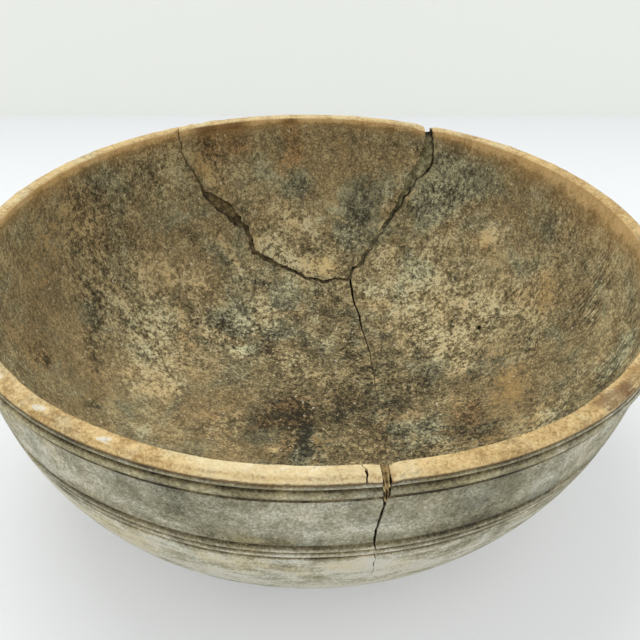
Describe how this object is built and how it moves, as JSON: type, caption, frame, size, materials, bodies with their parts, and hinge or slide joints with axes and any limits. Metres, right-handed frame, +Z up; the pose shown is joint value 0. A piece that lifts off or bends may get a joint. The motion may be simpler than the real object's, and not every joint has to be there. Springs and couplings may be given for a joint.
{
  "type": "cracked wooden bowl",
  "caption": "Large old turned wooden bowl with beaded lines, a wall piece set back in with filler, a split plugged rim and a cracked floor.",
  "frame": {"origin": "centre of the flat foot, on the surface that the bowl stands on", "axes": "+Z up out of the bowl's mouth, -Y towards the split in the rim, +X to the right when the split faces the viewer"},
  "size_m": [0.3602, 0.3601, 0.137],
  "materials": {
    "wood": "old worn turned wood with dirt and dry crust, matte",
    "seam_filler": "smooth dark brown hardened filler",
    "crack_filler": "lumpy brown hardened filler"
  },
  "bodies": {
    "root": {"bowl_body": "wood", "rim_fragment": "wood", "seam_filler": "seam_filler", "crack_filler": "crack_filler"}
  },
  "joints": []
}
